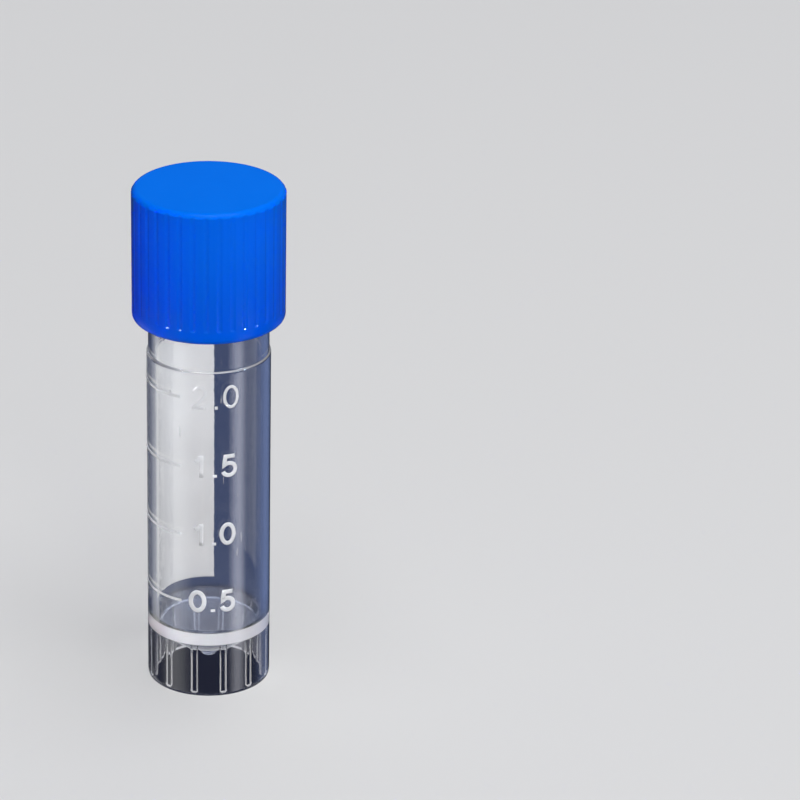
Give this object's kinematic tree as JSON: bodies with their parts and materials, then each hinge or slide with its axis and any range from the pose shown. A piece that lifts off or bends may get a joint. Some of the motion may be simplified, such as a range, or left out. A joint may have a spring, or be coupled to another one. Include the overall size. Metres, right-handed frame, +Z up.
{
  "type": "cryovial",
  "caption": "Clear self-standing storage vial with a round-bottomed bore, a star-ribbed skirt, an outside-thread screw cap, a sealing washer and printed volume marks.",
  "frame": {"origin": "centre of the circle that the skirt stands on, at the bottom of the overall box", "axes": "+Z up the vial's axis from the skirt to the cap; -Y is the front, where the numerals are read; +X is to the reader's right"},
  "size_m": [0.0138, 0.0138, 0.0483],
  "materials": {
    "clear_plastic": "clear moulded polypropylene, glossy",
    "cap_plastic": "blue moulded polypropylene, satin",
    "seal_rubber": "moulded silicone, matt, translucent white",
    "print": "white screen-printed ink, matt"
  },
  "bodies": {
    "tube_body": {"tube": "clear_plastic", "writing_panel": "print", "graduation_ticks": "print"},
    "seal_body": {"seal": "seal_rubber"},
    "cap_body": {"cap": "cap_plastic"}
  },
  "joints": [
    {"name": "cap_lift", "type": "slide", "parent": "tube_body", "child": "seal_body", "axis": [0, 0, 1], "range_m": [0, 0.012]},
    {"name": "cap_turn", "type": "hinge", "parent": "seal_body", "child": "cap_body", "pos_m": [0, 0, 0.0471], "axis": [0, 0, 1], "range_deg": [0, 1441]}
  ],
  "couplings": [
    {"joint": "cap_turn", "follows": "cap_lift", "rad_per_m": 2094.4}
  ]
}
